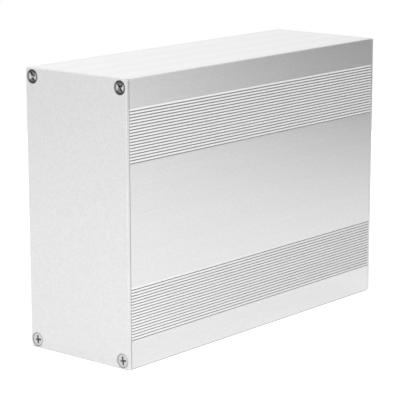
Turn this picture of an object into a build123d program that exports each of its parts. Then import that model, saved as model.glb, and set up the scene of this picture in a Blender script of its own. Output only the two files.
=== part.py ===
from build123d import *
from math import atan2, degrees, sqrt
import os

# Aluminium project box: a one-piece extruded body, open at both ends and
# closed by two flat end plates, each held by four countersunk tapping screws.
# The box stands on one of its narrow sides. X runs along the extrusion, Y
# through its thickness and Z up. The origin is the middle of the footprint,
# at the height of the surface that the box stands on. All sizes are in mm.

# Extruded body
body_length = 200.0
section_depth = 68.0
section_height = 145.0
wall_thickness = 2.5
outer_edge_radius = 0.5

# Raised ribs, side by side in two bands, the whole length of both broad faces
rib_pitch = 1.5
rib_height = 0.5
rib_crest_radius = 0.2
ribs_per_band = 18
first_rib_inset = 15.5

# Slots for circuit boards, each between two ledges on the narrow walls
slot_spacing = 16.0
slot_count = 3
slot_width = 2.0
ledge_thickness = 1.5
ledge_height = 3.0

# End plates
plate_thickness = 2.0
plate_corner_radius = 1.0
plate_edge_chamfer = 0.25

# Countersunk tapping screws with a cross recess, 3.5 mm over the thread
screw_diameter = 3.5
screw_length = 13.0
screw_tip_length = 1.5
screw_tip_diameter = 2.4
head_diameter = 6.8
head_sink = 0.3
recess_span = 4.3
recess_floor_span = 2.2
recess_wing_width = 0.95
recess_depth = 1.7
screw_inset = 4.4

# Channels that the screws cut into, one along each long edge of the body
channel_wall = 1.5
channel_mouth = 2.0

# Clearances
thread_clearance = 0.05
hole_clearance = 0.25
head_clearance = 0.05

# Worked-out sizes
band_centre_inset = first_rib_inset + rib_pitch * (ribs_per_band - 1) / 2
channel_bore_radius = screw_diameter / 2 + thread_clearance
channel_radius = channel_bore_radius + channel_wall
ledge_offset = (slot_width + ledge_thickness) / 2
head_radius = head_diameter / 2
head_cone_depth = head_radius - screw_diameter / 2
countersink_radius = head_radius + head_sink + head_clearance * sqrt(2)
screw_y = section_depth / 2 - screw_inset
screw_z = section_height / 2 - screw_inset
mid_height = section_height / 2

# The four corners: side of Y, side of Z about mid height, and name
corners = [
    (-1, 1, "top_front"),
    (1, 1, "top_back"),
    (-1, -1, "bottom_front"),
    (1, -1, "bottom_back"),
]

# The two ends: side of X and name
ends = [(-1, "left"), (1, "right")]

# How far each screw's cross recess is turned about its axis, in degrees
recess_turns = {
    "left_top_front": 38.0,
    "left_top_back": 20.0,
    "left_bottom_front": 8.0,
    "left_bottom_back": 4.0,
    "right_top_front": 62.0,
    "right_top_back": 15.0,
    "right_bottom_front": 33.0,
    "right_bottom_back": 71.0,
}


# Body: the closed section is drawn across the length and extruded along X
with BuildPart() as extruded_body:
    with BuildSketch(Plane.YZ.offset(-body_length / 2)) as body_section:
        with Locations((0, mid_height)):
            RectangleRounded(section_depth, section_height, outer_edge_radius)
            Rectangle(
                section_depth - 2 * wall_thickness,
                section_height - 2 * wall_thickness,
                mode=Mode.SUBTRACT,
            )
        # Ribs are lozenge bars laid in the walls, with half of each outside. Their
        # height is to the sharp crest, which is the section's outermost point and
        # is then rounded.
        for band_centre_z in (band_centre_inset, section_height - band_centre_inset):
            with Locations((0, band_centre_z)):
                with GridLocations(section_depth, rib_pitch, 2, ribs_per_band):
                    Polygon(
                        (rib_height, 0),
                        (0, rib_pitch / 2),
                        (-rib_height, 0),
                        (0, -rib_pitch / 2),
                        align=None,
                    )
        points_across = body_section.vertices().group_by(Axis.X)
        fillet(points_across[0] + points_across[-1], rib_crest_radius)
        # A pair of ledges at each board level, on both narrow walls
        ledge_reach = wall_thickness + ledge_height
        for wall_side in (-1, 1):
            with Locations((0, mid_height + wall_side * (section_height - ledge_reach) / 2)):
                with GridLocations(slot_spacing, 0, slot_count, 1):
                    with GridLocations(2 * ledge_offset, 0, 2, 1):
                        Rectangle(ledge_thickness, ledge_reach)
        # Screw channels: round bosses with a bore that opens to the inside
        for y_side, z_side, corner_name in corners:
            channel_centre = (y_side * screw_y, mid_height + z_side * screw_z)
            inward_angle = degrees(atan2(-z_side, -y_side))
            with Locations(channel_centre):
                Circle(channel_radius)
                Circle(channel_bore_radius, mode=Mode.SUBTRACT)
                Rectangle(
                    2 * channel_radius,
                    channel_mouth,
                    rotation=inward_angle,
                    align=(Align.MIN, Align.CENTER),
                    mode=Mode.SUBTRACT,
                )
    extrude(amount=body_length)


def build_end_plate(x_side):
    """Flat plate with bevelled edges and four countersunk holes."""
    outer_x = x_side * (body_length / 2 + plate_thickness)
    outer_plane = Plane(
        origin=(outer_x, 0, mid_height), x_dir=(0, x_side, 0), z_dir=(x_side, 0, 0)
    )
    with BuildPart() as plate:
        with BuildSketch(outer_plane):
            RectangleRounded(section_depth, section_height, plate_corner_radius)
        extrude(amount=-plate_thickness)
        rim_edges = plate.faces().filter_by(Axis.X).edges()
        chamfer(rim_edges, plate_edge_chamfer)
        with Locations(outer_plane):
            with GridLocations(2 * screw_y, 2 * screw_z, 2, 2):
                CounterSinkHole(
                    radius=screw_diameter / 2 + hole_clearance,
                    counter_sink_radius=countersink_radius,
                    counter_sink_angle=90,
                )
    return plate.part


def build_screw(x_side, y_side, z_side, recess_turn):
    """Countersunk tapping screw with a cross recess and a tapered tip."""
    head_x = x_side * (body_length / 2 + plate_thickness - head_sink)
    head_centre = (head_x, y_side * screw_y, mid_height + z_side * screw_z)
    head_plane = Plane(origin=head_centre, x_dir=(0, x_side, 0), z_dir=(x_side, 0, 0))
    axial_plane = Plane(origin=head_centre, x_dir=(0, x_side, 0), z_dir=(0, 0, -1))
    screw_axis = Axis(head_centre, (x_side, 0, 0))
    # Two crossed wings of constant width, each narrowing in length to the floor
    with BuildPart() as recess:
        for wing_turn in (recess_turn, recess_turn + 90):
            wing_dir = head_plane.x_dir.rotate(screw_axis, wing_turn)
            across_wing = wing_dir.cross(screw_axis.direction)
            with BuildSketch(Plane(origin=head_centre, x_dir=wing_dir, z_dir=across_wing)):
                with BuildLine():
                    Polyline(
                        (-recess_span / 2, 0),
                        (recess_span / 2, 0),
                        (recess_floor_span / 2, -recess_depth),
                        (-recess_floor_span / 2, -recess_depth),
                        close=True,
                    )
                make_face()
            extrude(amount=recess_wing_width / 2, both=True)
    with BuildPart() as screw:
        with BuildSketch(axial_plane):
            with BuildLine():
                Polyline(
                    (0, 0),
                    (head_radius, 0),
                    (screw_diameter / 2, -head_cone_depth),
                    (screw_diameter / 2, screw_tip_length - screw_length),
                    (screw_tip_diameter / 2, -screw_length),
                    (0, -screw_length),
                    close=True,
                )
            make_face()
        revolve(axis=screw_axis)
        add(recess.part, mode=Mode.SUBTRACT)
    return screw.part


os.makedirs("parts", exist_ok=True)

extruded_body.part.label = "extruded_body"
export_step(extruded_body.part, "parts/extruded_body.step")

for x_side, end_name in ends:
    end_plate = build_end_plate(x_side)
    end_plate.label = end_name + "_end_plate"
    export_step(end_plate, "parts/" + end_plate.label + ".step")
    for y_side, z_side, corner_name in corners:
        place = end_name + "_" + corner_name
        end_screw = build_screw(x_side, y_side, z_side, recess_turns[place])
        end_screw.label = "screw_" + place
        export_step(end_screw, "parts/" + end_screw.label + ".step")
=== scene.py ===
import math

import bpy
from mathutils import Euler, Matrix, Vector


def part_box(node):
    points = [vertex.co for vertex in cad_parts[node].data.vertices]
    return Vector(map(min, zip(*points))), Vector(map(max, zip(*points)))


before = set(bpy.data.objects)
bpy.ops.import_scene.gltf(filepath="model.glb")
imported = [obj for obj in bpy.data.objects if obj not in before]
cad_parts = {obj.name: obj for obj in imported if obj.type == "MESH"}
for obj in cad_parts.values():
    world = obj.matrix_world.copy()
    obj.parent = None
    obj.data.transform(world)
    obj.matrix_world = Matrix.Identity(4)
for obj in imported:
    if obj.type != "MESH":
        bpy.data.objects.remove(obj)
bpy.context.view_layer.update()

# Looks of an aluminium project box that stands on one of its narrow sides: anodised
# body and end plates, plated screws, a pale floor and soft studio light. Lengths are
# in metres.
MM = 0.001
WHITE = (1.0, 1.0, 1.0, 1.0)

# Camera, solved from the visible corners of the box
CAMERA_TARGET = Vector((-7.7, 0.0, 66.1)) * MM
CAMERA_DISTANCE = 999.0 * MM
CAMERA_AZIMUTH = math.radians(-49.68)
CAMERA_ELEVATION = math.radians(12.08)
CAMERA_ROLL = math.radians(-0.14)
CAMERA_NEAR = 0.01
CAMERA_FAR = 50.0
FOCAL_LENGTH_PX = 1869.0
IMAGE_WIDTH_PX = 400.0
SENSOR_WIDTH = 36.0

# Floor: one glow that the camera sees, and one that the metal mirrors. The mirrored
# glow has a pool of light before the box, and fades towards the right.
FLOOR_RADIUS = 0.6
FLOOR_SIDES = 128
FLOOR_COLOUR = 0.82
FLOOR_GLOW_SEEN = 0.72
FLOOR_GLOW_MIRRORED = 0.38
POOL_CENTRE = (-0.03, -0.08, 0.0)
POOL_RADIUS = 0.18
POOL_GLOW = 0.06
FADE_START = 0.06
FADE_END = 0.52
FADE_GLOW = -0.15

# Studio room: an even level, and soft glows as (direction, tightness, strength)
ROOM_LEVEL = 0.20
ROOM_GLOWS = [
    ((0.75, 0.63, 0.20), 6.0, 0.66),
    ((0.30, 0.75, 0.60), 6.0, 0.81),
    ((-0.75, 0.63, 0.05), 4.0, 0.76),
    ((0.58, -0.49, 0.65), 20.0, 1.55),
    ((-0.15, -0.45, 0.88), 5.0, 0.45),
]

# Softboxes near the object: name, place, size and power
SOFTBOXES = [
    ("softbox_left", (-0.6, -0.35, 0.35), 0.9, 2.2),
    ("softbox_front", (0.1, -0.6, 0.15), 0.7, 1.16),
]
SOFTBOX_TARGET = (0.0, 0.0, 0.07)

# Finish of the metals: reflectance, roughness and depth of the bump
ALUMINIUM = (0.80, 0.80, 0.80)
ALUMINIUM_ROUGHNESS = 0.38
ALUMINIUM_BUMP = 0.05 * MM
STEEL = (0.62, 0.62, 0.62)
STEEL_ROUGHNESS = 0.22
STEEL_BUMP = 0.002 * MM

# Noises in the finish: cells to the metre along X, Y and Z, detail and strength
DIE_LINES = ((3.0, 1100.0, 1100.0), 3.0, 0.05)
DIE_BANDS = ((1.5, 120.0, 120.0), 2.0, 0.03)
MOTTLE = ((300.0, 300.0, 300.0), 3.0, 0.05)
GRAIN = ((850.0, 850.0, 850.0), 3.0, 0.22)
STEEL_GRAIN = ((2500.0, 2500.0, 2500.0), 2.0, 0.1)

# Rib bands on the broad faces, board slots behind the narrow ones, and turning marks on
# the screws
RIB_PITCH = 1.5 * MM
RIBS_PER_BAND = 18
FIRST_RIB_INSET = 15.5 * MM
SLOT_SPACING = 16.0 * MM
TURNING_PITCH = 0.25 * MM

# Places on the box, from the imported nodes
BODY_LOW, BODY_HIGH = [Vector(corner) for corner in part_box("extruded_body")]
PLATE_LOW, PLATE_HIGH = [Vector(corner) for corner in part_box("left_end_plate")]
SCREW_LOW, SCREW_HIGH = [Vector(corner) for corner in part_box("screw_left_top_back")]
MID_HEIGHT = (BODY_LOW.z + BODY_HIGH.z) / 2
HALF_HEIGHT = BODY_HIGH.z - MID_HEIGHT
SCREW_Y = (SCREW_LOW.y + SCREW_HIGH.y) / 2
SCREW_Z = (SCREW_LOW.z + SCREW_HIGH.z) / 2 - MID_HEIGHT
HEAD_RADIUS = (SCREW_HIGH.y - SCREW_LOW.y) / 2
HEAD_X = -SCREW_LOW.x
JOINT_X = BODY_HIGH.x
END_X = -PLATE_LOW.x
WALL_Y = PLATE_HIGH.y
RIB_FOOT_Y = WALL_Y - 0.01 * MM

# Soft edges of the marks on the metal, each as its start and its end. Those of slopes
# are on the Z of the surface normal.
NARROW_FACE = (HALF_HEIGHT - 1.0 * MM, HALF_HEIGHT - 0.4 * MM)
BROAD_FACE = (WALL_Y - 1.0 * MM, WALL_Y - 0.5 * MM)
LONG_EDGE = (HALF_HEIGHT - 1.5 * MM, HALF_HEIGHT - 0.8 * MM)
LOWER_EDGE = (0.4 * MM, 0.8 * MM)
LOWER_SLOPE = (-0.5, 0.0)
UPPER_SLOPE = (0.0, 0.5)
BODY_JOINT = (JOINT_X - 0.35 * MM, JOINT_X - 0.05 * MM)
PLATE_JOINT = (JOINT_X + 0.05 * MM, JOINT_X + 0.3 * MM)
BEVEL_HEIGHT = (HALF_HEIGHT - 0.45 * MM, HALF_HEIGHT - 0.2 * MM)
BEVEL_X = (END_X - 0.3 * MM, END_X - 0.2 * MM)
PLATE_FACE = (END_X - 0.02 * MM, END_X - 0.005 * MM)
HOLE_RIM = (HEAD_RADIUS + 0.5 * MM, HEAD_RADIUS + 0.6 * MM)
HEAD_GAP = (HEAD_RADIUS + 0.05 * MM, HEAD_RADIUS + 0.2 * MM)
RECESS = (HEAD_X - 0.6 * MM, HEAD_X - 0.05 * MM)
SIDEWAYS = (-0.1, 0.5)
OFF_CENTRE = (0.2 * HEAD_RADIUS, 0.4 * HEAD_RADIUS)
DARK_RIM = (0.62 * HEAD_RADIUS, 0.8 * HEAD_RADIUS)
LIGHT_RIM = (0.88 * HEAD_RADIUS, HEAD_RADIUS)

# How much each mark lightens or darkens its metal, as a share of the tone
SLOT_SHADE = -0.015
# Painted shade on the lower rib flanks, and a painted highlight on the upper ones
LOWER_FLANK_PAINTED_SHADE = -0.65
UPPER_FLANK_PAINTED_HIGHLIGHT = 0.08
# Painted shade in the joints between the body and the plates
JOINT_PAINTED_SHADE = -0.35
# Painted shadow along the lower edges, where the box meets the floor
BODY_EDGE_PAINTED_SHADOW = -0.4
PLATE_EDGE_PAINTED_SHADOW = -0.12
# Painted highlight on the plates' bevels
BEVEL_PAINTED_HIGHLIGHT = 0.18
# Painted shade in the countersinks, darkest in the gap round each screw's head
COUNTERSINK_PAINTED_SHADE = -0.2
GAP_PAINTED_SHADE = -0.6
# Painted glints at the sides of the upper screws, and painted shade at the rims of their heads
PAINTED_GLINT = 2.2
DARK_RIM_PAINTED_SHADE = -0.7
# Painted shade at the rims and in the recesses of the lower screws
LIGHT_RIM_PAINTED_SHADE = -0.4
RECESS_PAINTED_SHADE = -0.4

# Painted dark reflection of the upper screws, and what turning marks add to every screw
PAINTED_DARK_REFLECTION = 0.36
TURNING_TONE = 0.02

# Change of the grain on the ribs, and what grain and countersinks add to the roughness
RIB_GRAIN_CHANGE = -0.7
GRAIN_ROUGHNESS = 0.5
COUNTERSINK_ROUGHNESS = 0.5


class Shading:
    """Short ways to add nodes to a tree. A value that they work on is a number or a socket."""

    def __init__(self, tree):
        self.tree = tree
        self.tree.nodes.clear()

    def feed(self, socket, value):
        if isinstance(value, bpy.types.NodeSocket):
            self.tree.links.new(value, socket)
        else:
            socket.default_value = value

    def node(self, kind, inputs=None, **settings):
        node = self.tree.nodes.new(kind)
        for name, value in settings.items():
            setattr(node, name, value)
        for name, value in (inputs or {}).items():
            self.feed(node.inputs[name], value)
        return node

    def math(self, operation, *values):
        node = self.node("ShaderNodeMath", operation=operation)
        for socket, value in zip(node.inputs, values):
            self.feed(socket, value)
        return node.outputs[0]

    def total(self, *values):
        result = values[0]
        for value in values[1:]:
            result = self.math("ADD", result, value)
        return result

    def product(self, *values):
        result = values[0]
        for value in values[1:]:
            result = self.math("MULTIPLY", result, value)
        return result

    def distance(self, value, centre):
        return self.math("ABSOLUTE", self.math("SUBTRACT", value, centre))

    def inverse(self, mask):
        """1 where the mask is 0, and 0 where it is 1."""
        return self.math("SUBTRACT", 1.0, mask)

    def past(self, value, limit):
        """1 where the value is over the limit, and 0 elsewhere."""
        return self.math("GREATER_THAN", value, limit)

    def rise(self, value, start, end):
        """0 up to start, 1 from end on, and smooth between."""
        inputs = {"Value": value, "From Min": start, "From Max": end}
        node = self.node("ShaderNodeMapRange", inputs, interpolation_type="SMOOTHSTEP")
        return node.outputs["Result"]

    def fall(self, value, start, end):
        """1 up to start, 0 from end on, and smooth between."""
        return self.inverse(self.rise(value, start, end))

    def change(self, tone, mask, amount):
        """The tone, higher or lower by the amount where the mask is 1."""
        return self.math("MULTIPLY", tone, self.math("MULTIPLY_ADD", mask, amount, 1.0))

    def place(self):
        """Place on the object: a vector, distances from the middle of the box, and height."""
        vector = self.node("ShaderNodeTexCoord").outputs["Object"]
        parts = self.node("ShaderNodeSeparateXYZ", {"Vector": vector})
        along = self.math("ABSOLUTE", parts.outputs["X"])
        across = self.math("ABSOLUTE", parts.outputs["Y"])
        height = parts.outputs["Z"]
        return vector, along, across, self.distance(height, MID_HEIGHT), height

    def noise(self, vector, cells, detail, strength):
        """Noise about 0, with its own number of cells to the metre along each axis."""
        scaled = self.node("ShaderNodeVectorMath", operation="MULTIPLY")
        self.feed(scaled.inputs[0], vector)
        scaled.inputs[1].default_value = cells
        inputs = {"Vector": scaled.outputs[0], "Scale": 1.0, "Detail": detail}
        texture = self.node("ShaderNodeTexNoise", inputs)
        return self.math("MULTIPLY_ADD", texture.outputs["Fac"], strength, -strength / 2)

    def in_rib_band(self, upward):
        """1 at the heights of the two bands of ribs."""
        middle = HALF_HEIGHT - FIRST_RIB_INSET - RIB_PITCH * (RIBS_PER_BAND - 1) / 2
        half_width = RIB_PITCH * RIBS_PER_BAND / 2
        return self.math("LESS_THAN", self.distance(upward, middle), half_width)

    def open_joint(self, across, upward):
        """1 where a joint with a plate shows: on the broad faces, off their edges and ribs."""
        broad_face = self.rise(across, *BROAD_FACE)
        off_edges = self.fall(upward, *LONG_EDGE)
        off_ribs = self.inverse(self.in_rib_band(upward))
        return self.product(broad_face, off_edges, off_ribs)

    def from_screw(self, across, upward):
        """Squares of the distances from the axis of the nearest screw, along Y and Z."""
        out = self.math("SUBTRACT", across, SCREW_Y)
        up = self.math("SUBTRACT", upward, SCREW_Z)
        return self.product(out, out), self.product(up, up)

    def tint(self, colour, tone):
        """The colour times a tone of about 1."""
        node = self.node("ShaderNodeVectorMath", operation="SCALE")
        node.inputs[0].default_value = colour
        self.feed(node.inputs["Scale"], tone)
        return node.outputs[0]

    def metal(self, colour, roughness, bump_height, bump_depth):
        """Metal surface on the output of a material, with its facets flat."""
        inputs = {"Base Color": colour, "Metallic": 1.0, "Roughness": roughness}
        surface = self.node("ShaderNodeBsdfPrincipled", inputs)
        facet = self.node("ShaderNodeNewGeometry").outputs["True Normal"]
        inputs = {"Height": bump_height, "Distance": bump_depth, "Normal": facet}
        bump = self.node("ShaderNodeBump", inputs)
        self.feed(surface.inputs["Normal"], bump.outputs[0])
        self.node("ShaderNodeOutputMaterial", {"Surface": surface.outputs[0]})


def new_material(name):
    material = bpy.data.materials.new(name)
    material.use_nodes = True
    return material, Shading(material.node_tree)


def make_camera():
    """Camera at the photograph's viewing angle, with its principal point in the centre."""
    flat = math.cos(CAMERA_ELEVATION)
    back = Vector((
        math.sin(CAMERA_AZIMUTH) * flat,
        -math.cos(CAMERA_AZIMUTH) * flat,
        math.sin(CAMERA_ELEVATION),
    ))
    camera_data = bpy.data.cameras.new("camera")
    camera_data.sensor_width = SENSOR_WIDTH
    camera_data.lens = FOCAL_LENGTH_PX / IMAGE_WIDTH_PX * SENSOR_WIDTH
    camera_data.clip_start = CAMERA_NEAR
    camera_data.clip_end = CAMERA_FAR
    camera = bpy.data.objects.new("camera", camera_data)
    camera.location = CAMERA_TARGET + back * CAMERA_DISTANCE
    looking = (-back).to_track_quat("-Z", "Y").to_matrix()
    rolled = looking @ Euler((0, 0, CAMERA_ROLL)).to_matrix()
    camera.rotation_euler = rolled.to_euler()
    bpy.context.scene.collection.objects.link(camera)
    bpy.context.scene.camera = camera


def floor_glow(shade):
    """Strength of the floor's own glow, to the camera and to the metal."""
    path = shade.node("ShaderNodeLightPath")
    spot = shade.node("ShaderNodeTexCoord").outputs["Object"]
    from_pool = shade.node("ShaderNodeVectorMath", operation="DISTANCE")
    shade.feed(from_pool.inputs[0], spot)
    from_pool.inputs[1].default_value = POOL_CENTRE
    pool = shade.fall(from_pool.outputs["Value"], 0.0, POOL_RADIUS)
    rightward = shade.node("ShaderNodeSeparateXYZ", {"Vector": spot}).outputs["X"]
    fade = shade.rise(rightward, FADE_START, FADE_END)
    level = shade.total(
        FLOOR_GLOW_MIRRORED,
        shade.product(pool, POOL_GLOW),
        shade.product(fade, FADE_GLOW),
    )
    seen = shade.product(path.outputs["Is Camera Ray"], FLOOR_GLOW_SEEN)
    mirrored = shade.product(path.outputs["Is Glossy Ray"], level)
    return shade.total(seen, mirrored)


def make_floor():
    """Round white floor, lit by the lamps and with a glow of its own."""
    bpy.ops.mesh.primitive_circle_add(
        vertices=FLOOR_SIDES, radius=FLOOR_RADIUS, fill_type="NGON"
    )
    floor = bpy.context.object
    floor.name = "floor"
    material, shade = new_material("floor_white")
    colour = (FLOOR_COLOUR, FLOOR_COLOUR, FLOOR_COLOUR, 1.0)
    diffuse = shade.node("ShaderNodeBsdfDiffuse", {"Color": colour})
    glow = shade.node("ShaderNodeEmission", {"Strength": floor_glow(shade)})
    both = shade.node("ShaderNodeAddShader")
    shade.feed(both.inputs[0], diffuse.outputs[0])
    shade.feed(both.inputs[1], glow.outputs[0])
    shade.node("ShaderNodeOutputMaterial", {"Surface": both.outputs[0]})
    floor.data.materials.append(material)


def make_world():
    """White to the camera, and a studio room with soft glows to the object."""
    world = bpy.data.worlds.new("studio")
    bpy.context.scene.world = world
    world.use_nodes = True
    shade = Shading(world.node_tree)
    direction = shade.node("ShaderNodeTexCoord").outputs["Generated"]
    level = ROOM_LEVEL
    for glow_direction, tightness, strength in ROOM_GLOWS:
        facing = shade.node("ShaderNodeVectorMath", operation="DOT_PRODUCT")
        shade.feed(facing.inputs[0], direction)
        facing.inputs[1].default_value = Vector(glow_direction).normalized()
        fade = shade.math("MULTIPLY_ADD", facing.outputs["Value"], tightness, -tightness)
        level = shade.math("MULTIPLY_ADD", shade.math("EXPONENT", fade), strength, level)
    room = shade.node("ShaderNodeBackground", {"Color": WHITE, "Strength": level})
    backdrop = shade.node("ShaderNodeBackground", {"Color": WHITE, "Strength": 1.0})
    path = shade.node("ShaderNodeLightPath")
    pick = shade.node("ShaderNodeMixShader", {"Fac": path.outputs["Is Camera Ray"]})
    shade.feed(pick.inputs[1], room.outputs[0])
    shade.feed(pick.inputs[2], backdrop.outputs[0])
    shade.node("ShaderNodeOutputWorld", {"Surface": pick.outputs[0]})


def add_softbox(name, place, size, power):
    """Square area lamp that faces the object."""
    lamp_data = bpy.data.lights.new(name, "AREA")
    lamp_data.shape = "SQUARE"
    lamp_data.size = size
    lamp_data.energy = power
    lamp = bpy.data.objects.new(name, lamp_data)
    lamp.location = place
    facing = Vector(SOFTBOX_TARGET) - Vector(place)
    lamp.rotation_euler = facing.to_track_quat("-Z", "Y").to_euler()
    bpy.context.scene.collection.objects.link(lamp)


def make_body_metal():
    """Extruded aluminium, blasted and anodised: die lines, grain, and painted light and shade.
    """
    material, shade = new_material("anodised_body")
    vector, along, across, upward, height = shade.place()
    die_lines = shade.noise(vector, *DIE_LINES)
    die_bands = shade.noise(vector, *DIE_BANDS)
    grain = shade.noise(vector, *GRAIN)

    # Faint bands on the narrow faces, darkest over the board slots behind them
    narrow_face = shade.rise(upward, *NARROW_FACE)
    slot_wave = shade.math("COSINE", shade.product(across, 2 * math.pi / SLOT_SPACING))
    slot_bands = shade.product(narrow_face, slot_wave)

    # The ribs: painted shade on their lower flanks and a painted highlight on their upper ones
    normal = shade.node("ShaderNodeNewGeometry").outputs["True Normal"]
    slope = shade.node("ShaderNodeSeparateXYZ", {"Vector": normal}).outputs["Z"]
    ribs = shade.product(shade.in_rib_band(upward), shade.past(across, RIB_FOOT_Y))
    lower_flank = shade.product(ribs, shade.fall(slope, *LOWER_SLOPE))
    upper_flank = shade.product(ribs, shade.rise(slope, *UPPER_SLOPE))
    grain = shade.change(grain, ribs, RIB_GRAIN_CHANGE)

    # Painted shade in the joint with a plate
    joint = shade.product(shade.rise(along, *BODY_JOINT), shade.open_joint(across, upward))
    # Painted shadow along the lower edge, where the box meets the floor
    lower_edge = shade.fall(height, *LOWER_EDGE)
    tone = shade.total(1.0, die_lines, die_bands, grain)
    tone = shade.change(tone, slot_bands, SLOT_SHADE)
    tone = shade.change(tone, lower_flank, LOWER_FLANK_PAINTED_SHADE)
    tone = shade.change(tone, upper_flank, UPPER_FLANK_PAINTED_HIGHLIGHT)
    tone = shade.change(tone, joint, JOINT_PAINTED_SHADE)
    tone = shade.change(tone, lower_edge, BODY_EDGE_PAINTED_SHADOW)
    roughness = shade.total(
        ALUMINIUM_ROUGHNESS, die_lines, shade.product(grain, GRAIN_ROUGHNESS)
    )
    bump_height = shade.total(grain, die_lines)
    shade.metal(shade.tint(ALUMINIUM, tone), roughness, bump_height, ALUMINIUM_BUMP)
    return material


def make_plate_metal():
    """Sheet aluminium, blasted and anodised: grain, and painted light and shade at edges and
    holes.
    """
    material, shade = new_material("anodised_plate")
    vector, along, across, upward, height = shade.place()
    mottle = shade.noise(vector, *MOTTLE)
    grain = shade.noise(vector, *GRAIN)

    # The bevels that run along the two short edges of the outer face, with a painted highlight
    bevel = shade.product(shade.rise(upward, *BEVEL_HEIGHT), shade.rise(along, *BEVEL_X))
    # Painted shade in the joint with the body
    joint = shade.product(shade.fall(along, *PLATE_JOINT), shade.open_joint(across, upward))
    # Painted shadow along the lower edge, where the plate meets the floor
    lower_edge = shade.fall(height, *LOWER_EDGE)

    # The countersinks are rough, with painted shade that is darkest in the gap round the head
    radius = shade.math("SQRT", shade.total(*shade.from_screw(across, upward)))
    near_screw = shade.fall(radius, *HOLE_RIM)
    countersink = shade.product(near_screw, shade.fall(along, *PLATE_FACE))
    gap = shade.product(countersink, shade.fall(radius, *HEAD_GAP))

    tone = shade.total(1.0, mottle, grain)
    tone = shade.change(tone, bevel, BEVEL_PAINTED_HIGHLIGHT)
    tone = shade.change(tone, joint, JOINT_PAINTED_SHADE)
    tone = shade.change(tone, countersink, COUNTERSINK_PAINTED_SHADE)
    tone = shade.change(tone, gap, GAP_PAINTED_SHADE)
    tone = shade.change(tone, lower_edge, PLATE_EDGE_PAINTED_SHADOW)
    roughness = shade.total(
        ALUMINIUM_ROUGHNESS,
        mottle,
        shade.product(grain, GRAIN_ROUGHNESS),
        shade.product(countersink, COUNTERSINK_ROUGHNESS),
    )
    shade.metal(shade.tint(ALUMINIUM, tone), roughness, grain, ALUMINIUM_BUMP)
    return material


def make_screw_metal():
    """Plated steel, turned on the head; the upper screws have painted dark reflections and
    highlights.
    """
    material, shade = new_material("screw_steel")
    vector, along, across, upward, height = shade.place()
    out_squared, up_squared = shade.from_screw(across, upward)
    radius_squared = shade.total(out_squared, up_squared)
    radius = shade.math("SQRT", radius_squared)
    grain = shade.noise(vector, *STEEL_GRAIN)
    turning = shade.math("SINE", shade.product(radius, 2 * math.pi / TURNING_PITCH))

    # 1 to either side of the axis, 0 on the diagonals, and -1 above and below it
    difference = shade.math("SUBTRACT", out_squared, up_squared)
    sideways = shade.math("DIVIDE", difference, radius_squared)
    painted_glints = shade.product(
        shade.rise(sideways, *SIDEWAYS),
        shade.rise(radius, *OFF_CENTRE),
    )
    # Upper screws: a painted dark reflection, painted glints at two sides and painted shade at
    # the rim
    painted_dark_tone = shade.change(PAINTED_DARK_REFLECTION, painted_glints, PAINTED_GLINT)
    painted_dark_tone = shade.change(painted_dark_tone, shade.rise(radius, *DARK_RIM), DARK_RIM_PAINTED_SHADE)
    # Lower screws: painted shade at the rim and in the cross recess
    lower_screw_tone = shade.change(1.0, shade.rise(radius, *LIGHT_RIM), LIGHT_RIM_PAINTED_SHADE)
    lower_screw_tone = shade.change(lower_screw_tone, shade.fall(along, *RECESS), RECESS_PAINTED_SHADE)

    upper_screws = shade.past(height, MID_HEIGHT)
    tone = shade.total(
        shade.product(upper_screws, painted_dark_tone),
        shade.product(shade.inverse(upper_screws), lower_screw_tone),
        grain,
        shade.product(turning, TURNING_TONE),
    )
    roughness = shade.total(STEEL_ROUGHNESS, grain)
    shade.metal(shade.tint(STEEL, tone), roughness, turning, STEEL_BUMP)
    return material


def dress(node, material):
    """Gives a CAD node its material."""
    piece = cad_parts[node]
    piece.data.materials.clear()
    piece.data.materials.append(material)


bpy.context.scene.view_settings.view_transform = "Standard"
make_camera()
make_world()
make_floor()
for softbox in SOFTBOXES:
    add_softbox(*softbox)

body_metal = make_body_metal()
plate_metal = make_plate_metal()
screw_metal = make_screw_metal()
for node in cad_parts:
    if node.startswith("screw"):
        dress(node, screw_metal)
    elif node.endswith("plate"):
        dress(node, plate_metal)
    else:
        dress(node, body_metal)
